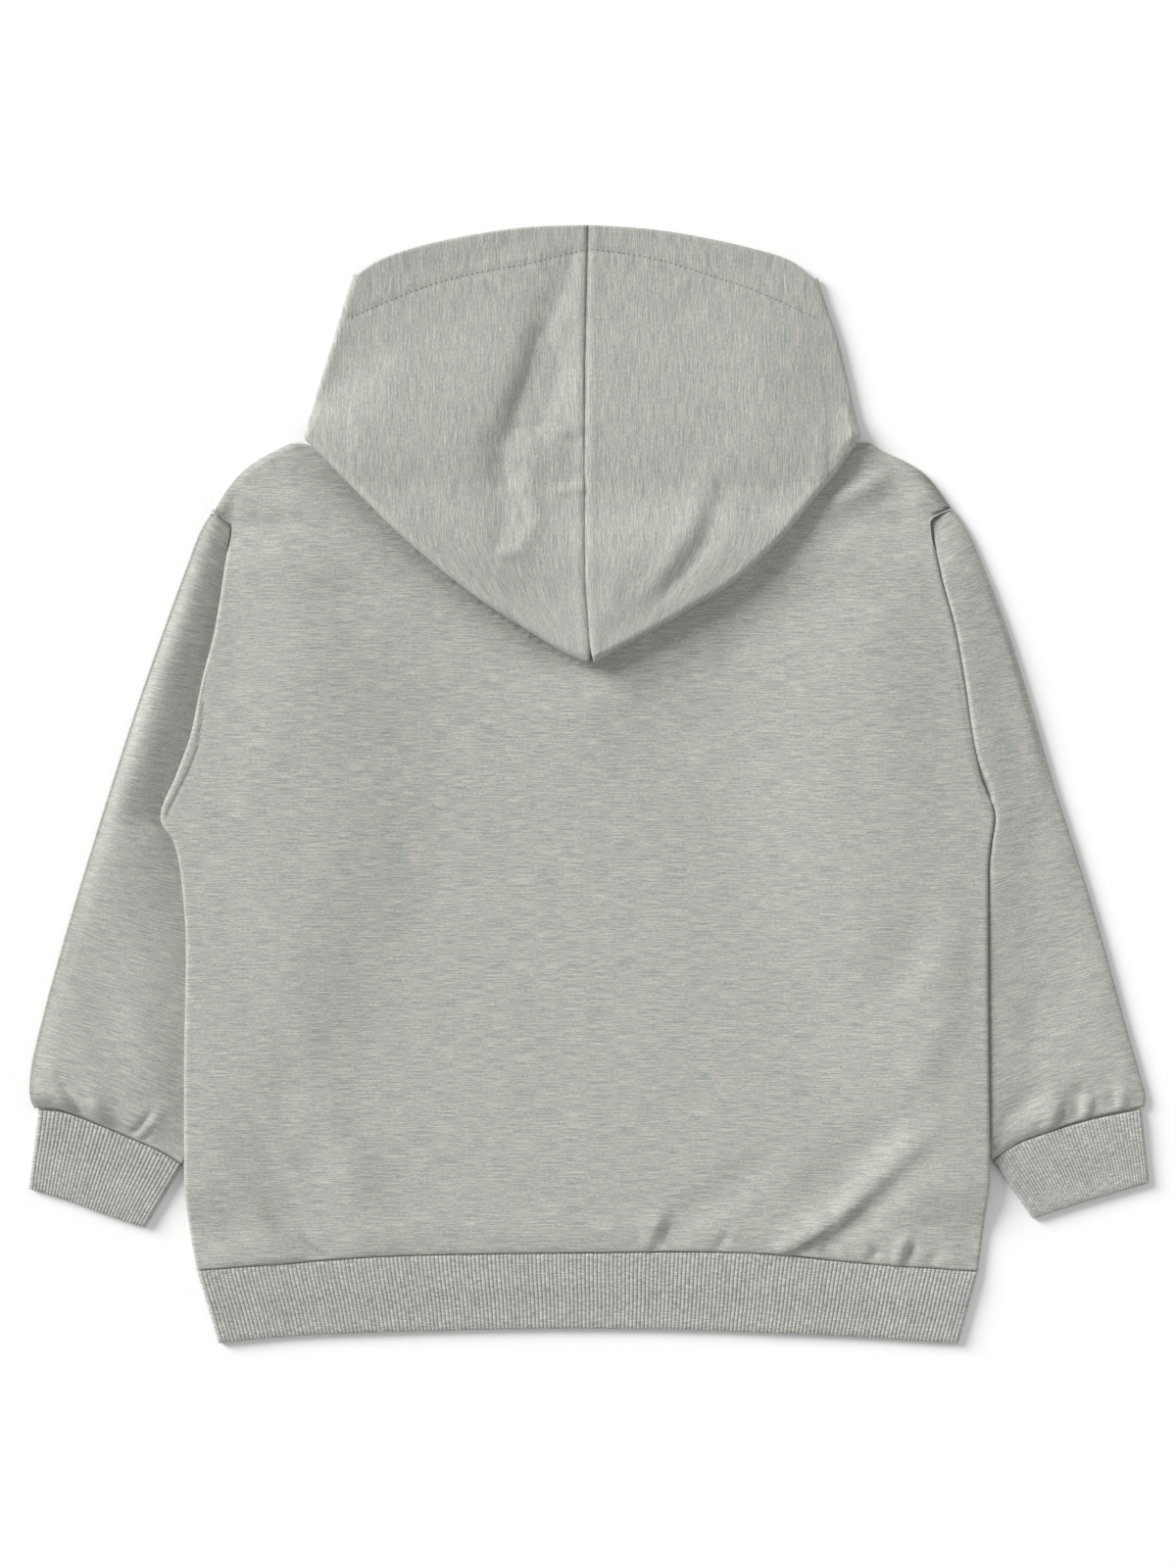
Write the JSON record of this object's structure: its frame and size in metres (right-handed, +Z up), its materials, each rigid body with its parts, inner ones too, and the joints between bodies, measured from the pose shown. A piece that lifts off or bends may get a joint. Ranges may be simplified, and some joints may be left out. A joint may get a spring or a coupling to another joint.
{
  "type": "toddler hoodie",
  "caption": "Toddler's pullover hoodie of marled sweatshirt cloth, laid flat on its front with the hood spread over the back, with rib cuffs and a rib waistband.",
  "frame": {"origin": "on the surface that the garment lies on, in the middle of its outline", "axes": "+Z up from the surface towards the garment's back; +Y from its hem to its hood; +X from its left sleeve, as seen in the picture, to its right sleeve"},
  "size_m": [0.5271, 0.5256, 0.011],
  "materials": {
    "marl_fleece": "soft marled sweatshirt knit, pale grey with cream and blue-grey streaks",
    "marl_rib": "marled rib knit, pale grey"
  },
  "bodies": {
    "root": {"front_panel": "marl_fleece", "back_panel": "marl_fleece", "sleeve_left": "marl_fleece", "sleeve_right": "marl_fleece", "hood_left": "marl_fleece", "hood_right": "marl_fleece", "cuff_left": "marl_rib", "cuff_right": "marl_rib", "waistband": "marl_rib"}
  },
  "joints": []
}
